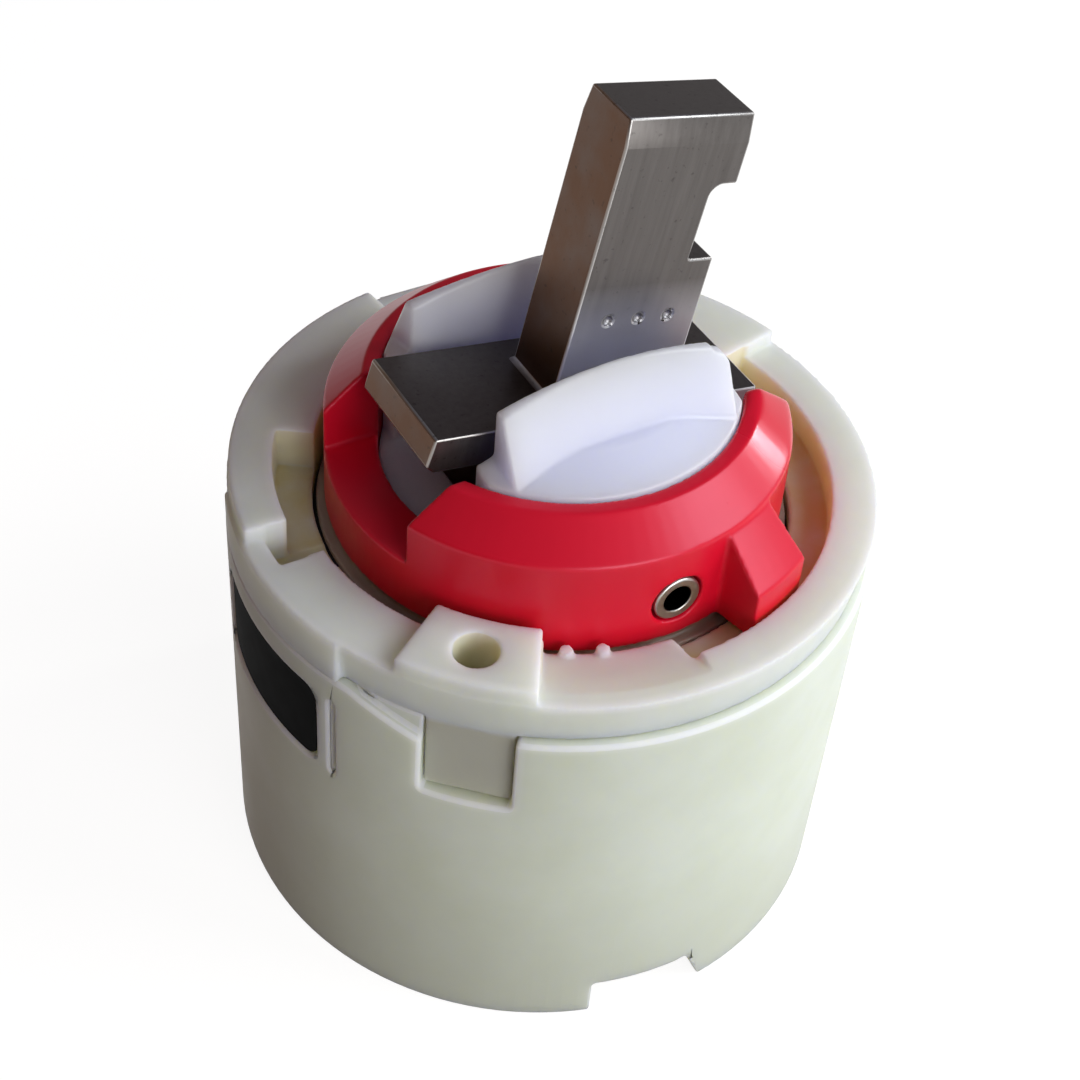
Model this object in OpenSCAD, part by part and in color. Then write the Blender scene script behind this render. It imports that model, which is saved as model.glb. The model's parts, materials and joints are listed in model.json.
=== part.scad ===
// Single-lever mixer cartridge with ceramic discs, in millimetres.
// The origin is on the axis at the foot of the cup. +Z is up and +X is the way the lever leans.
// The lever is drawn leaning, so the carrier and the moving disc below it stand off the axis.

/* [Cup] */
// Outer diameter of the cup
body_d = 48; // [46:0.5:50]
// Height of the cup up to its ledge
body_h = 31.3; // [31:0.1:33]
// Wall of the cup beside the latch ring
body_wall = 2.4; // [2.2:0.1:2.6]
// Width of the shelf that the latch ring stands on
shelf_w = 0.95; // [0.8:0.05:1.2]
// Thickness of the web that the floor bears on
web_t = 2; // [1.5:0.1:2.5]
// Width of the ledge around the collar
ledge_w = 0.8; // [0.6:0.1:1]
// Height that the ledge falls beside the key notch
ledge_drop = 2.1; // [1:0.1:3]
// Length of the falling part of the ledge
ledge_run = 5.6; // [4:0.2:7]
// Direction of the first latch window
window_a = 181; // [178:1:184]
// Width of a latch window
window_w = 14; // [12:0.5:15]
// Height of a latch window
window_h = 7.5; // [6:0.5:8]
// Depth of a latch window's upper edge below the ledge
window_drop = 2.3; // [1.8:0.1:2.6]
// Corner radius of a latch window
window_c = 1.2; // [0.8:0.1:1.6]
// Direction of the slit beside the first window
slit_a = 201.7; // [200:0.1:204]
// Width and depth of the slit
slit_w = 0.5; // [0.3:0.1:0.8]
// Direction of the key notch
key_a = 226.8; // [224:0.1:230]
// Width of the key notch
key_w = 6.5; // [5:0.1:8]
// Height of the key notch
key_h = 6.8; // [5:0.1:8]
// Depth of the key notch
key_d = 1.6; // [1.3:0.1:1.8]
// Direction of the notch in the foot
foot_notch_a = 263.6; // [258:0.2:268]
// Width of the notch in the foot
foot_notch_w = 9.3; // [7:0.1:11]
// Height of the notch in the foot
foot_notch_h = 3.4; // [2.5:0.1:4]
// Slant of the foot notch's right side
foot_notch_slant = 1.5; // [0:0.1:2]

/* [Floor and seals] */
// Height of the floor's lower face above the foot
floor_lift = 0.5; // [0.3:0.1:0.8]
// Thickness of the floor
floor_t = 5.5; // [5:0.1:6]
// Diameter of each waterway
port_d = 7.2; // [6:0.1:7.6]
// Distance of the waterways from the axis
port_r = 10.2; // [9.8:0.1:10.6]
// Direction of the outlet waterway
port_a = 208; // [200:1:216]
// Outer diameter of a foot seal
foot_seal_d = 11; // [10.6:0.1:11.6]
// Thickness of a foot seal
foot_seal_t = 1.6; // [1.2:0.1:2]
// Outer diameter of a disc seal
disc_seal_d = 10; // [9.6:0.1:10.6]
// Thickness of a disc seal
disc_seal_t = 1.6; // [1.2:0.1:2]
// Reach of the floor's snap bead
bead_reach = 0.4; // [0.3:0.05:0.6]

/* [Discs and carrier] */
// Height of the disc seals above the floor
disc_lift = 0.6; // [0.4:0.1:0.8]
// Width of the web around the fixed disc
web_w = 3.5; // [3:0.1:4]
// Thickness of the fixed disc
fixed_t = 4; // [3.6:0.1:4.4]
// Width of the fixed disc's edge around the moving disc
moving_in = 3; // [2.6:0.1:3.4]
// Thickness of the moving disc
moving_t = 3.5; // [3.4:0.1:4]
// Depth of the mixing chamber in the moving disc
chamber_h = 1.7; // [1.4:0.1:1.8]
// Diameter of the mixing chamber
chamber_d = 15; // [14:0.5:16]
// Width of the carrier between its guides
carrier_w = 21.2; // [20.6:0.1:22]
// Thickness of the carrier
carrier_t = 5.6; // [5.4:0.1:6]
// Diameter of the carrier's pegs
peg_d = 2; // [1.6:0.1:2.2]
// Length of the carrier's pegs
peg_h = 1.4; // [1:0.1:1.5]
// Outer diameter of the carrier's gasket
gasket_d = 14.4; // [13.6:0.2:15]
// Width of the carrier's gasket
gasket_w = 2; // [1.6:0.1:2.2]
// Thickness of the carrier's gasket
gasket_t = 1.3; // [1:0.1:1.5]

/* [Collar] */
// Height of the collar's rim above the ledge
collar_h = 3.7; // [3.3:0.1:4]
// Height of the raised stops and the lug above the rim
stop_h = 1.2; // [0.8:0.1:1.6]
// Thickness of the collar under its pocket
pocket_floor_t = 1.4; // [1.2:0.1:1.6]
// Depth of the collar's spigot in the cup
spigot_h = 0.6; // [0.4:0.1:0.8]
// Slope of the collar's rim outwards
rim_flare = 0.6; // [0:0.1:0.7]
// Height that the front of the collar falls towards its bore
front_drop = 1.2; // [0.6:0.1:1.6]
// Width of the flat rim around the falling front
front_rim_w = 1.4; // [1:0.1:2]
// Width of the gutter beside the bore
gutter_w = 1.2; // [0.8:0.1:1.6]
// Direction of the lug
lug_a = 225.5; // [222:0.5:228]
// Angle that the lug spans
lug_span = 24; // [20:1:24]
// Diameter of the hole in the lug
lug_hole_d = 3.2; // [2.8:0.1:3.4]
// Distance of the lug's hole from the cup's outside
lug_hole_in = 3.4; // [3:0.1:3.8]
// Depth of the lug's hole
lug_hole_h = 4; // [3:0.1:4.4]
// Thickness of the latch ring
latch_t = 1.1; // [1:0.05:1.2]

/* [Red ring] */
// Distance of the red ring from the cup's outside
ring_in = 7.2; // [6.8:0.1:7.6]
// Wall of the red ring
ring_wall = 3.9; // [3.6:0.1:4.2]
// Height of the red ring
ring_h = 10.2; // [9.8:0.1:11]
// Height of the red ring's straight side
ring_band_h = 7.8; // [7.2:0.1:8.4]
// Width of the red ring's sloped edge
ring_slope_w = 2.8; // [2.4:0.1:3.2]
// Width of the slot across the red ring
slot_w = 12.8; // [12.4:0.1:13.4]
// Height of the slot's floor above the ring's foot
slot_z = 4.4; // [4:0.1:4.6]
// Direction of the tab
tab_a = 291; // [289:0.5:293]
// Angle that the tab spans
tab_span = 16; // [14:0.5:18]
// Reach of the tab beyond the ring
tab_reach = 3.4; // [2.6:0.1:3.6]
// Height of the tab's outer face
tab_h = 4; // [3.4:0.1:4.6]

/* [Turret and pin] */
// Height of the cheeks above the red ring
cheek_h = 6.1; // [5.4:0.1:6.6]
// Width of the gap between the cheeks
cheek_gap = 12; // [11.6:0.1:12.2]
// Distance of a cheek's outer foot from the middle
cheek_foot_y = 9.4; // [8.8:0.1:10]
// Reach of the cheeks behind the pin
cheek_back = 8.9; // [8.4:0.1:9.2]
// Reach of the cheeks in front of the pin
cheek_front = 8.8; // [8.4:0.1:9.2]
// Radius of the arch along the top of a cheek
arch_r = 30; // [26:1:36]
// Height of the post's sloped top above the red ring
dish_h = 1.6; // [1:0.1:2]
// Length of the post's top along the slot
post_l = 20.4; // [19.6:0.2:21]
// Diameter of the turret's O-ring cord
o_ring_d = 1.1; // [0.9:0.05:1.2]
// Thickness of the slide ring
slide_ring_t = 0.9; // [0.7:0.1:1.1]
// Outer diameter of the pin
pin_d = 3.6; // [3.2:0.1:3.8]
// Bore of the pin
pin_bore_d = 2.1; // [1.6:0.1:2.3]
// Height of the pin above the red ring's foot
pin_h = 3.28; // [3.1:0.02:3.4]

/* [Lever] */
// Lean of the lever at rest, in degrees
rest_tilt = 11.5; // [9:0.5:12]
// Width of the stem in the way it leans
stem_w = 10; // [9:0.1:10.4]
// Thickness of the stem
stem_t = 5.4; // [5:0.1:6]
// Offset of the stem's middle from the pin
stem_x = 1.05; // [0.6:0.05:1.4]
// Height of the stem's top above the pin
stem_h = 28.7; // [27:0.1:30]
// Height of the hook notch
hook_h = 5.8; // [5:0.1:6.4]
// Height of the stem above the hook notch
hook_drop = 5.1; // [4.6:0.1:5.6]
// Depth of the hook notch
hook_d = 1.9; // [1.5:0.1:2.2]
// Length of the foot plate behind the pin
foot_back = 14.2; // [13.6:0.1:14.4]
// Length of the foot plate in front of the pin
foot_front = 12.5; // [11.8:0.1:12.6]
// Width of the foot plate
foot_w = 9.5; // [9.2:0.1:9.8]
// Height of the foot plate's rear edge above the pin
foot_h = 6.8; // [6.6:0.1:7.2]
// Thickness of the foot plate
foot_t = 2.8; // [2.4:0.1:3]
// Diameter of the hub around the pin
hub_d = 9.2; // [8.6:0.1:9.6]
// Width of the arm below the pin
arm_w = 7; // [6:0.1:7.4]
// Thickness of the arm below the pin
arm_t = 6; // [5:0.1:7]
// Diameter of the plastic ball on the lever's lower end
shoe_d = 6; // [5.6:0.1:6.2]
// Diameter of the peg that carries the ball
shoe_peg_d = 3.4; // [3:0.1:3.6]

/* [Clearances] */
// Gap around curved faces that turn in each other
run_gap = 0.3; // [0.25:0.05:0.4]
// Gap around pieces that stay where they are
seat_gap = 0.05; // [0.03:0.01:0.08]
// Gap beside faces that slide
slide_gap = 0.12; // [0.1:0.01:0.16]
// Film of grease between the discs
film = 0.02; // [0.01:0.01:0.04]
// Running gap around the pin
pin_gap = 0.05; // [0.03:0.01:0.08]
// Gap around the pin in the red ring
ring_pin_gap = 0.2; // [0.15:0.05:0.3]
// Gap around the collar's key and the pieces that snap in
snap_gap = 0.15; // [0.1:0.05:0.2]

/* [Hidden] */
$fn = 96;
over = 1;

ivory = "#d8d6c0";
ivory_collar = "#dcdacb";
black_pom = "#1a1a1c";
red_pom = "#c41228";
white_pom = "#eeeef4";
ceramic_white = "#f2efe8";
rubber_black = "#262626";
steel = "#77706b";
pin_steel = "#9a9a98";
ptfe = "#e6e6df";

// Radii of the cup and of what turns in it
cup_r = body_d / 2;
cup_in_r = cup_r - body_wall;
cup_low_r = cup_in_r - shelf_w;
latch_out_r = cup_in_r - seat_gap;
latch_in_r = latch_out_r - latch_t;
drum_r = min(latch_in_r, cup_low_r) - run_gap;
ring_r = cup_r - ring_in;
ring_top_r = ring_r - ring_slope_w;
neck_lip = 0.6;
neck_r = ring_r + neck_lip;
neck_step = 0.3;
bore_r = neck_r + run_gap;
ring_bore_r = ring_r - ring_wall;
post_r = ring_bore_r - 2 * seat_gap;
tab_r = ring_r + tab_reach;
pocket_r = tab_r + run_gap;
gutter_r = bore_r + gutter_w;
rim_low_r = cup_r - ledge_w;
rim_top_r = rim_low_r + rim_flare;
stop_inset = 0.15;
stop_r = rim_top_r - stop_inset;
stop_root = 0.5;
spigot_r = cup_in_r - 2 * seat_gap;
web_r = cup_low_r - web_w;
fixed_r = web_r - snap_gap;
moving_r = fixed_r - moving_in;
lug_hole_r = cup_r - lug_hole_in;
floor_r = cup_in_r - 2 * seat_gap;

// Heights of the stack, from the foot up
floor_top = floor_lift + floor_t;
fixed_z = floor_top + disc_lift;
fixed_top = fixed_z + fixed_t;
moving_z = fixed_top + film;
moving_top = moving_z + moving_t;
carrier_top = moving_top + carrier_t;
drum_z = carrier_top + slide_gap;
shelf_drop = 0.6;
window_z = body_h - window_drop - window_h;
shelf_z = window_z - shelf_drop;
collar_under = body_h - spigot_h;
drum_top = collar_under - slide_ring_t - 2 * seat_gap;
pocket_z = body_h + pocket_floor_t;
rim_z = body_h + collar_h;
stop_z = rim_z + stop_h;
neck_top = pocket_z - neck_step;
ring_z = pocket_z + run_gap;
ring_top = ring_z + ring_h;
pivot_z = ring_z + pin_h;

// The snap bead of the floor
bead_lift = 2;
bead_h = 0.8;
bead_z = floor_lift + bead_lift;
floor_notch_d = 2;

// The keys and waterways of the fixed disc
web_key_w = 4;
web_key_reach = 1.2;
web_key_sides = [90, 270];
port_sides = [120, 240];
kidney_half = 20;
kidney_w = 5;
kidney_in = 1;

// The lever's lower end and the carrier's place under it
shoe_r = shoe_d / 2;
shoe_sink = 1.4;
shoe_z = carrier_top - shoe_sink;
shoe_wall = 1.4;
shoe_flat = 2.2;
socket_floor_gap = 0.3;
socket_h = shoe_r + shoe_sink + socket_floor_gap;
arm = pivot_z - shoe_z;
carrier_x = -arm * sin(rest_tilt);
carrier_inset = 0.2;
peg_y = (gasket_d / 2 + carrier_w / 2) / 2;
peg_gap = 0.1;

// The well and the slot that the lever swings in
tilt_room = 2;
well_gap = 1;
well_x = arm_w / 2 + (pivot_z - drum_z) * tan(rest_tilt + tilt_room) + well_gap;
hub_inset = 0.15;
hub_w = foot_w - 2 * hub_inset;
hub_flare = 1;
well_side_gap = 0.4;
well_y = hub_w / 2 + well_side_gap;
slot_step = 0.8;
post_slot_z = ring_z + slot_z - slot_step;

// Where the collar's stops, gutter and pocket begin and end
lap_a = 1;
land_a = 0.4;
back_span = [99, 174.7];
recess_span = [147, back_span[1] + lap_a];
notch_span = [back_span[1] - land_a, 182];
notch_wall = 1;
notch_step = 0.2;
gutter_span = [notch_span[1] - lap_a, 213];
right_span = [373, 420];
pocket_span = [267.5, right_span[0] + land_a];
flush_span = [161, 203];
flush_drop = 0.1;
lug_from = lug_a - lug_span / 2;
lug_stop_span = [lug_from, lug_from + lug_span];
front_span = [lug_stop_span[1] + land_a, pocket_span[0] + lap_a];
teeth_a = [243, 251];
tooth_d = 1;
tooth_sink = 0.1;
tooth_proud = 0.5;

// Small sizes of the turret, the red ring and the pin
guide_t = 2.9;
cheek_corner = 1.2;
ridge_t = 0.4;
post_lip = 0.2;
tab_rise = 1.1;
pin_end_sink = 0.1;

// Small sizes of the lever
stem_flare = 0.5;
hook_c = 1;
crown_h = 2;
crown_d = 0.35;
foot_rise = 0.8;
foot_slope = 0.5;
foot_bulge = 0.2;
dot_r = 0.45;
dot_sink = 0.15;
dot_x = 0.3;
dot_z = 13.4;
dot_step = 2.5;

window_sides = [0, 180];
tongue_sink = 0.2;

// Ring sector between two radii, two heights and two directions
module sector(r0, r1, z0, z1, span) {
    rotate([0, 0, span[0]])
        rotate_extrude(angle = span[1] - span[0])
            translate([r0, z0])
                square([r1 - r0, z1 - z0]);
}

// Full ring between two radii and two heights
module band(r0, r1, z0, z1) {
    rotate_extrude()
        translate([r0, z0])
            square([r1 - r0, z1 - z0]);
}

module rounded_rect(w, h, c) {
    translate([-w / 2 + c, 0])
        square([w - 2 * c, h]);
    translate([-w / 2, c])
        square([w, h - 2 * c]);
    for (x = [-w / 2 + c, w / 2 - c], y = [c, h - c])
        translate([x, y])
            circle(c);
}

// Draws its children in the plane across a direction and pulls them from one radius to another
module radial(a, r0, r1) {
    rotate([0, 0, a])
        translate([r0, 0, 0])
            rotate([90, 0, 90])
                linear_extrude(r1 - r0)
                    children();
}

// Draws its children in the plane of the lever's swing and pulls them to both sides
module across(w) {
    rotate([90, 0, 0])
        linear_extrude(w, center = true)
            children();
}

module at_port(side) {
    rotate([0, 0, port_a + side])
        translate([port_r, 0, 0])
            children();
}

module foot_notch(r0, r1) {
    half = foot_notch_w / 2;
    radial(foot_notch_a, r0, r1)
        polygon([
            [-half, -over], [half, -over], [half, 0],
            [half - foot_notch_slant, foot_notch_h], [-half, foot_notch_h]
        ]);
}

// The part of the ledge that falls towards the key notch
module ledge_slope() {
    near = -key_w / 2;
    intersection() {
        radial(key_a, cup_in_r - over, cup_r + over)
            polygon([
                [near - ledge_run, body_h], [near + over, body_h - ledge_drop],
                [near + over, body_h + over], [near - ledge_run, body_h + over]
            ]);
        band(rim_low_r, cup_r + over, body_h - ledge_drop - over, body_h + 2 * over);
    }
}

// The cup, stepped inside for the latch ring, the discs and the floor
module lower_housing() {
    color(ivory)
    difference() {
        union() {
            difference() {
                rotate_extrude()
                    polygon([
                        [cup_in_r, 0], [cup_r, 0], [cup_r, body_h], [cup_in_r, body_h],
                        [cup_in_r, shelf_z], [cup_low_r, shelf_z], [cup_low_r, floor_top + web_t],
                        [web_r, floor_top + web_t], [web_r, floor_top], [cup_in_r, floor_top]
                    ]);
                band(cup_in_r - over, cup_in_r + bead_reach + seat_gap,
                     bead_z - snap_gap, bead_z + bead_h + snap_gap);
            }
            for (side = web_key_sides)
                radial(port_a + side, web_r - web_key_reach, web_r + over)
                    translate([-web_key_w / 2, floor_top])
                        square([web_key_w, web_t]);
        }
        for (side = window_sides)
            radial(window_a + side, cup_in_r - 2 * over, cup_r + over)
                translate([0, window_z])
                    rounded_rect(window_w, window_h, window_c);
        radial(slit_a, cup_r - slit_w, cup_r + over)
            translate([-slit_w / 2, window_z])
                square([slit_w, window_h]);
        radial(key_a, cup_r - key_d, cup_r + over)
            translate([-key_w / 2, body_h - key_h])
                square([key_w, key_h + over]);
        ledge_slope();
        foot_notch(cup_in_r - over, cup_r + over);
    }
}

// What the collar's front loses between its rim and the bore
module front_slope() {
    edge_r = rim_top_r - front_rim_w;
    rise = front_drop / (edge_r - bore_r) * over;
    rotate([0, 0, front_span[0]])
        rotate_extrude(angle = front_span[1] - front_span[0])
            polygon([
                [bore_r - over, rim_z - front_drop - rise], [edge_r + over, rim_z + rise],
                [edge_r + over, rim_z + over], [bore_r - over, rim_z + over]
            ]);
}

// The two small teeth that stand in the bore beside the lug
module teeth() {
    tooth_z = ring_z + run_gap;
    tooth_top = rim_z - front_drop + tooth_proud;
    for (a = teeth_a)
        rotate([0, 0, a])
            translate([bore_r + tooth_sink, 0, tooth_z])
                cylinder(d = tooth_d, h = tooth_top - tooth_z);
}

// The disc that the collar is cut from, with its stops, its lug and its key
module collar_blank() {
    rotate_extrude()
        polygon([
            [0, collar_under], [spigot_r, collar_under], [spigot_r, body_h],
            [rim_low_r, body_h], [rim_top_r, rim_z], [0, rim_z]
        ]);
    sector(spigot_r, cup_r, body_h + seat_gap, rim_z - flush_drop, flush_span);
    for (span = [back_span, right_span, lug_stop_span])
        sector(neck_r - over, stop_r, rim_z - stop_root, stop_z, span);
    radial(key_a, cup_r - key_d + snap_gap, rim_low_r - snap_gap)
        translate([-key_w / 2 + snap_gap, body_h - key_h + snap_gap])
            square([key_w - 2 * snap_gap, key_h + over]);
}

// The collar that closes the cup, with the bore for the turret and the pocket for the tab
module collar() {
    color(ivory_collar) {
        teeth();
        difference() {
            collar_blank();
            translate([0, 0, collar_under - over])
                cylinder(r = bore_r, h = body_h);
            front_slope();
            sector(neck_r - over, pocket_r, pocket_z, stop_z + over, pocket_span);
            sector(neck_r - over, pocket_r, pocket_z, stop_z + over, recess_span);
            sector(neck_r - over, rim_low_r - notch_wall, pocket_z - notch_step, stop_z + over, notch_span);
            sector(neck_r - over, gutter_r, pocket_z + notch_step, stop_z + over, gutter_span);
            rotate([0, 0, lug_a])
                translate([lug_hole_r, 0, stop_z - lug_hole_h])
                    cylinder(d = lug_hole_d, h = lug_hole_h + over);
        }
    }
}

// The black clip ring, with a tongue in each window of the cup
module latch_ring() {
    color(black_pom)
    difference() {
        union() {
            band(latch_in_r, latch_out_r, shelf_z, collar_under - seat_gap);
            for (side = window_sides)
                intersection() {
                    radial(window_a + side, latch_in_r, cup_r)
                        translate([0, window_z + snap_gap])
                            rounded_rect(window_w - 2 * snap_gap, window_h - 2 * snap_gap, window_c);
                    cylinder(r = cup_r - tongue_sink, h = body_h);
                }
        }
        translate([0, 0, shelf_z - over])
            cylinder(r = latch_in_r, h = body_h);
    }
}

// The floor of the cup, with seats for the seals and a bead that snaps into the cup
module base_plate() {
    color(ivory)
    difference() {
        union() {
            translate([0, 0, floor_lift])
                cylinder(r = floor_r, h = floor_t);
            band(floor_r - over, cup_in_r + bead_reach - seat_gap, bead_z, bead_z + bead_h);
        }
        for (side = concat([0], port_sides))
            at_port(side) {
                cylinder(d = port_d, h = floor_top + over);
                cylinder(d = foot_seal_d + 2 * seat_gap, h = foot_seal_t + seat_gap);
                translate([0, 0, fixed_z - disc_seal_t - seat_gap])
                    cylinder(d = disc_seal_d + 2 * seat_gap, h = disc_seal_t + over);
            }
        foot_notch(floor_r - floor_notch_d, cup_r + over);
    }
}

// Flat ring around a waterway, standing on a height
module port_ring(side, d, z, t) {
    color(rubber_black)
    at_port(side)
        translate([0, 0, z])
            difference() {
                cylinder(d = d, h = t);
                translate([0, 0, -over])
                    cylinder(d = port_d, h = t + 2 * over);
            }
}

module foot_seal(side) {
    port_ring(side, foot_seal_d, 0, foot_seal_t);
}

module disc_seal(side) {
    port_ring(side, disc_seal_d, fixed_z - disc_seal_t, disc_seal_t);
}

module foot_seal_hot() { foot_seal(port_sides[0]); }
module foot_seal_cold() { foot_seal(port_sides[1]); }
module foot_seal_outlet() { foot_seal(0); }
module disc_seal_hot() { disc_seal(port_sides[0]); }
module disc_seal_cold() { disc_seal(port_sides[1]); }
module disc_seal_outlet() { disc_seal(0); }

// Bean-shaped hole around the axis
module kidney(mid_r, w, half, z, h) {
    sector(mid_r - w / 2, mid_r + w / 2, z, z + h, [-half, half]);
    for (a = [-half, half])
        rotate([0, 0, a])
            translate([mid_r, 0, z])
                cylinder(d = w, h = h);
}

// The lower ceramic disc, keyed to the web and open over each seal
module fixed_disc() {
    cut_z = fixed_z - over;
    cut_h = fixed_t + 2 * over;
    slot = web_key_w + 2 * snap_gap;
    color(ceramic_white)
    difference() {
        translate([0, 0, fixed_z])
            cylinder(r = fixed_r, h = fixed_t);
        for (side = web_key_sides)
            radial(port_a + side, web_r - web_key_reach - snap_gap, web_r + over)
                translate([-slot / 2, cut_z])
                    square([slot, cut_h]);
        for (side = port_sides)
            rotate([0, 0, port_a + side])
                kidney(port_r - kidney_in, kidney_w, kidney_half, cut_z, cut_h);
        at_port(0)
            translate([0, 0, cut_z])
                cylinder(d = port_d, h = cut_h);
    }
}

// Everything that the lever's lower end pushes along, in its place at rest
module on_carrier() {
    translate([carrier_x, 0, 0])
        children();
}

// The upper ceramic disc, with the mixing chamber below and two blind holes for the carrier's pegs
module moving_disc() {
    hole_h = peg_h + peg_gap;
    color(ceramic_white)
    on_carrier()
        difference() {
            translate([0, 0, moving_z])
                cylinder(r = moving_r, h = moving_t);
            translate([0, 0, moving_z - over])
                cylinder(d = chamber_d, h = chamber_h + over);
            for (side = [-1, 1])
                translate([0, side * peg_y, moving_top - hole_h])
                    cylinder(d = peg_d + 2 * peg_gap, h = hole_h + over);
        }
}

// The slide between the turret's guides, with a socket for the ball
module disc_carrier() {
    color(black_pom)
    on_carrier()
        difference() {
            union() {
                intersection() {
                    translate([0, 0, moving_top])
                        cylinder(r = moving_r - carrier_inset, h = carrier_t);
                    translate([-moving_r, -carrier_w / 2, 0])
                        cube([2 * moving_r, carrier_w, carrier_top + over]);
                }
                for (side = [-1, 1])
                    translate([0, side * peg_y, moving_top - peg_h])
                        cylinder(d = peg_d, h = peg_h + over);
            }
            translate([0, 0, carrier_top - socket_h])
                cylinder(r = shoe_r + snap_gap, h = socket_h + over);
            band(gasket_d / 2 - gasket_w - seat_gap, gasket_d / 2 + seat_gap,
                 moving_top - seat_gap, moving_top + gasket_t + seat_gap);
        }
}

module carrier_seal() {
    color(rubber_black)
    on_carrier()
        band(gasket_d / 2 - gasket_w, gasket_d / 2, moving_top, moving_top + gasket_t);
}

// Side view of a cheek: an arched top with a rounded front corner
module cheek_outline() {
    ridge = ring_top + cheek_h;
    arch_drop = arch_r - sqrt(arch_r * arch_r - cheek_front * cheek_front);
    corner_z = ridge - arch_drop - cheek_corner;
    intersection() {
        translate([0, ridge - arch_r])
            circle(arch_r);
        union() {
            translate([-cheek_back, ring_z])
                square([cheek_back + cheek_front - cheek_corner, ridge - ring_z]);
            translate([-cheek_back, ring_z])
                square([cheek_back + cheek_front, corner_z - ring_z]);
            translate([cheek_front - cheek_corner, corner_z])
                circle(cheek_corner);
        }
    }
}

// The post in the red ring: a sloped round top that carries two cheeks
module post() {
    ridge = ring_top + cheek_h;
    ridge_y = cheek_gap / 2 + ridge_t;
    rotate_extrude()
        polygon([
            [0, ring_z], [post_r, ring_z], [post_r, ring_top + post_lip],
            [cheek_foot_y, ring_top + dish_h], [0, ring_top + dish_h]
        ]);
    intersection() {
        across(2 * post_r)
            cheek_outline();
        translate([-post_r, 0, 0])
            rotate([90, 0, 90])
                linear_extrude(2 * post_r)
                    polygon([
                        [-cheek_foot_y, ring_z], [cheek_foot_y, ring_z], [cheek_foot_y, ring_top],
                        [ridge_y, ridge], [-ridge_y, ridge], [-cheek_foot_y, ring_top]
                    ]);
        translate([0, 0, ring_z])
            cylinder(r = post_r, h = ridge - ring_z);
    }
}

// The turret: drum, neck and post, with guides for the carrier below and the lever's well
module lever_holder() {
    guide_y = carrier_w / 2 + slide_gap;
    guide_z = moving_top + slide_gap + run_gap;
    groove_r = bore_r - o_ring_d - 2 * seat_gap;
    groove_half = o_ring_d / 2 + seat_gap;
    color(white_pom)
    difference() {
        union() {
            translate([0, 0, drum_z])
                cylinder(r = drum_r, h = drum_top - drum_z);
            difference() {
                translate([0, 0, drum_z])
                    cylinder(r = neck_r, h = neck_top - drum_z);
                band(groove_r, neck_r + over, body_h - groove_half, body_h + groove_half);
            }
            translate([0, 0, drum_z])
                cylinder(r = ring_r - neck_step, h = ring_z - drum_z);
            post();
            intersection() {
                translate([0, 0, guide_z])
                    cylinder(r = drum_r, h = drum_z - guide_z + over);
                for (side = [-1, 1])
                    translate([-drum_r, side * (guide_y + guide_t / 2) - guide_t / 2, guide_z])
                        cube([2 * drum_r, guide_t, drum_z]);
            }
        }
        translate([-well_x, -well_y, drum_z - over])
            cube([2 * well_x, 2 * well_y, ring_top]);
        translate([-drum_r, -cheek_gap / 2, post_slot_z])
            cube([2 * drum_r, cheek_gap, ring_top]);
        for (side = [-1, 1])
            translate([side * (post_l / 2 + post_r) - post_r, -post_r, post_slot_z])
                cube([2 * post_r, 2 * post_r, ring_top]);
        translate([0, 0, pivot_z])
            across(2 * drum_r)
                circle(d = pin_d + 2 * seat_gap);
    }
}

module slide_ring() {
    color(ptfe)
    band(bore_r, drum_r, drum_top + seat_gap, drum_top + seat_gap + slide_ring_t);
}

module turret_seal() {
    color(rubber_black)
    rotate_extrude()
        translate([bore_r - seat_gap - o_ring_d / 2, body_h])
            circle(d = o_ring_d);
}

// The red ring, slotted for the foot plate, with the tab that runs between the collar's stops
module limit_ring() {
    band_top = ring_z + ring_band_h;
    tab_top_r = ring_r - (ring_r - ring_top_r) * tab_rise / (ring_h - ring_band_h);
    color(red_pom)
    difference() {
        union() {
            rotate_extrude()
                polygon([
                    [ring_bore_r, ring_z], [ring_r, ring_z], [ring_r, band_top],
                    [ring_top_r, ring_top], [ring_bore_r, ring_top]
                ]);
            rotate([0, 0, tab_a - tab_span / 2])
                rotate_extrude(angle = tab_span)
                    polygon([
                        [ring_r - over, ring_z], [tab_r, ring_z], [tab_r, ring_z + tab_h],
                        [tab_top_r, band_top + tab_rise], [ring_r - over, band_top]
                    ]);
        }
        translate([-cup_r, -slot_w / 2, ring_z + slot_z])
            cube([body_d, slot_w, ring_h]);
        translate([0, 0, pivot_z])
            across(body_d)
                circle(d = pin_d + 2 * ring_pin_gap);
    }
}

// The hollow pin that the lever swings on
module lever_pin() {
    color(pin_steel)
    translate([0, 0, pivot_z])
        across(2 * (ring_r - pin_end_sink))
            difference() {
                circle(d = pin_d);
                circle(d = pin_bore_d);
            }
}

// Draws its children with the lever's lean, measured from the pin
module on_lever() {
    translate([0, 0, pivot_z])
        rotate([0, rest_tilt, 0])
            children();
}

// Side view of the stem, with the hook notch in its front edge
module stem_outline() {
    left = stem_x - stem_w / 2;
    right = stem_x + stem_w / 2;
    hook_top = stem_h - hook_drop;
    hook_in = right - hook_d;
    difference() {
        polygon([[left, 0], [left, stem_h], [right, stem_h], [right + stem_flare, 0]]);
        translate([hook_in, hook_top - hook_h])
            square([hook_d + over, hook_h - hook_c]);
        translate([hook_in + hook_c, hook_top - hook_h])
            square([hook_d + over, hook_h]);
        translate([hook_in + hook_c, hook_top - hook_c])
            circle(hook_c);
    }
}

// End view of the stem, narrower at its crown
module stem_section() {
    half = stem_t / 2;
    polygon([
        [-half, 0], [half, 0], [half, stem_h - crown_h], [half - crown_d, stem_h],
        [-half + crown_d, stem_h], [-half, stem_h - crown_h]
    ]);
}

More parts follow.
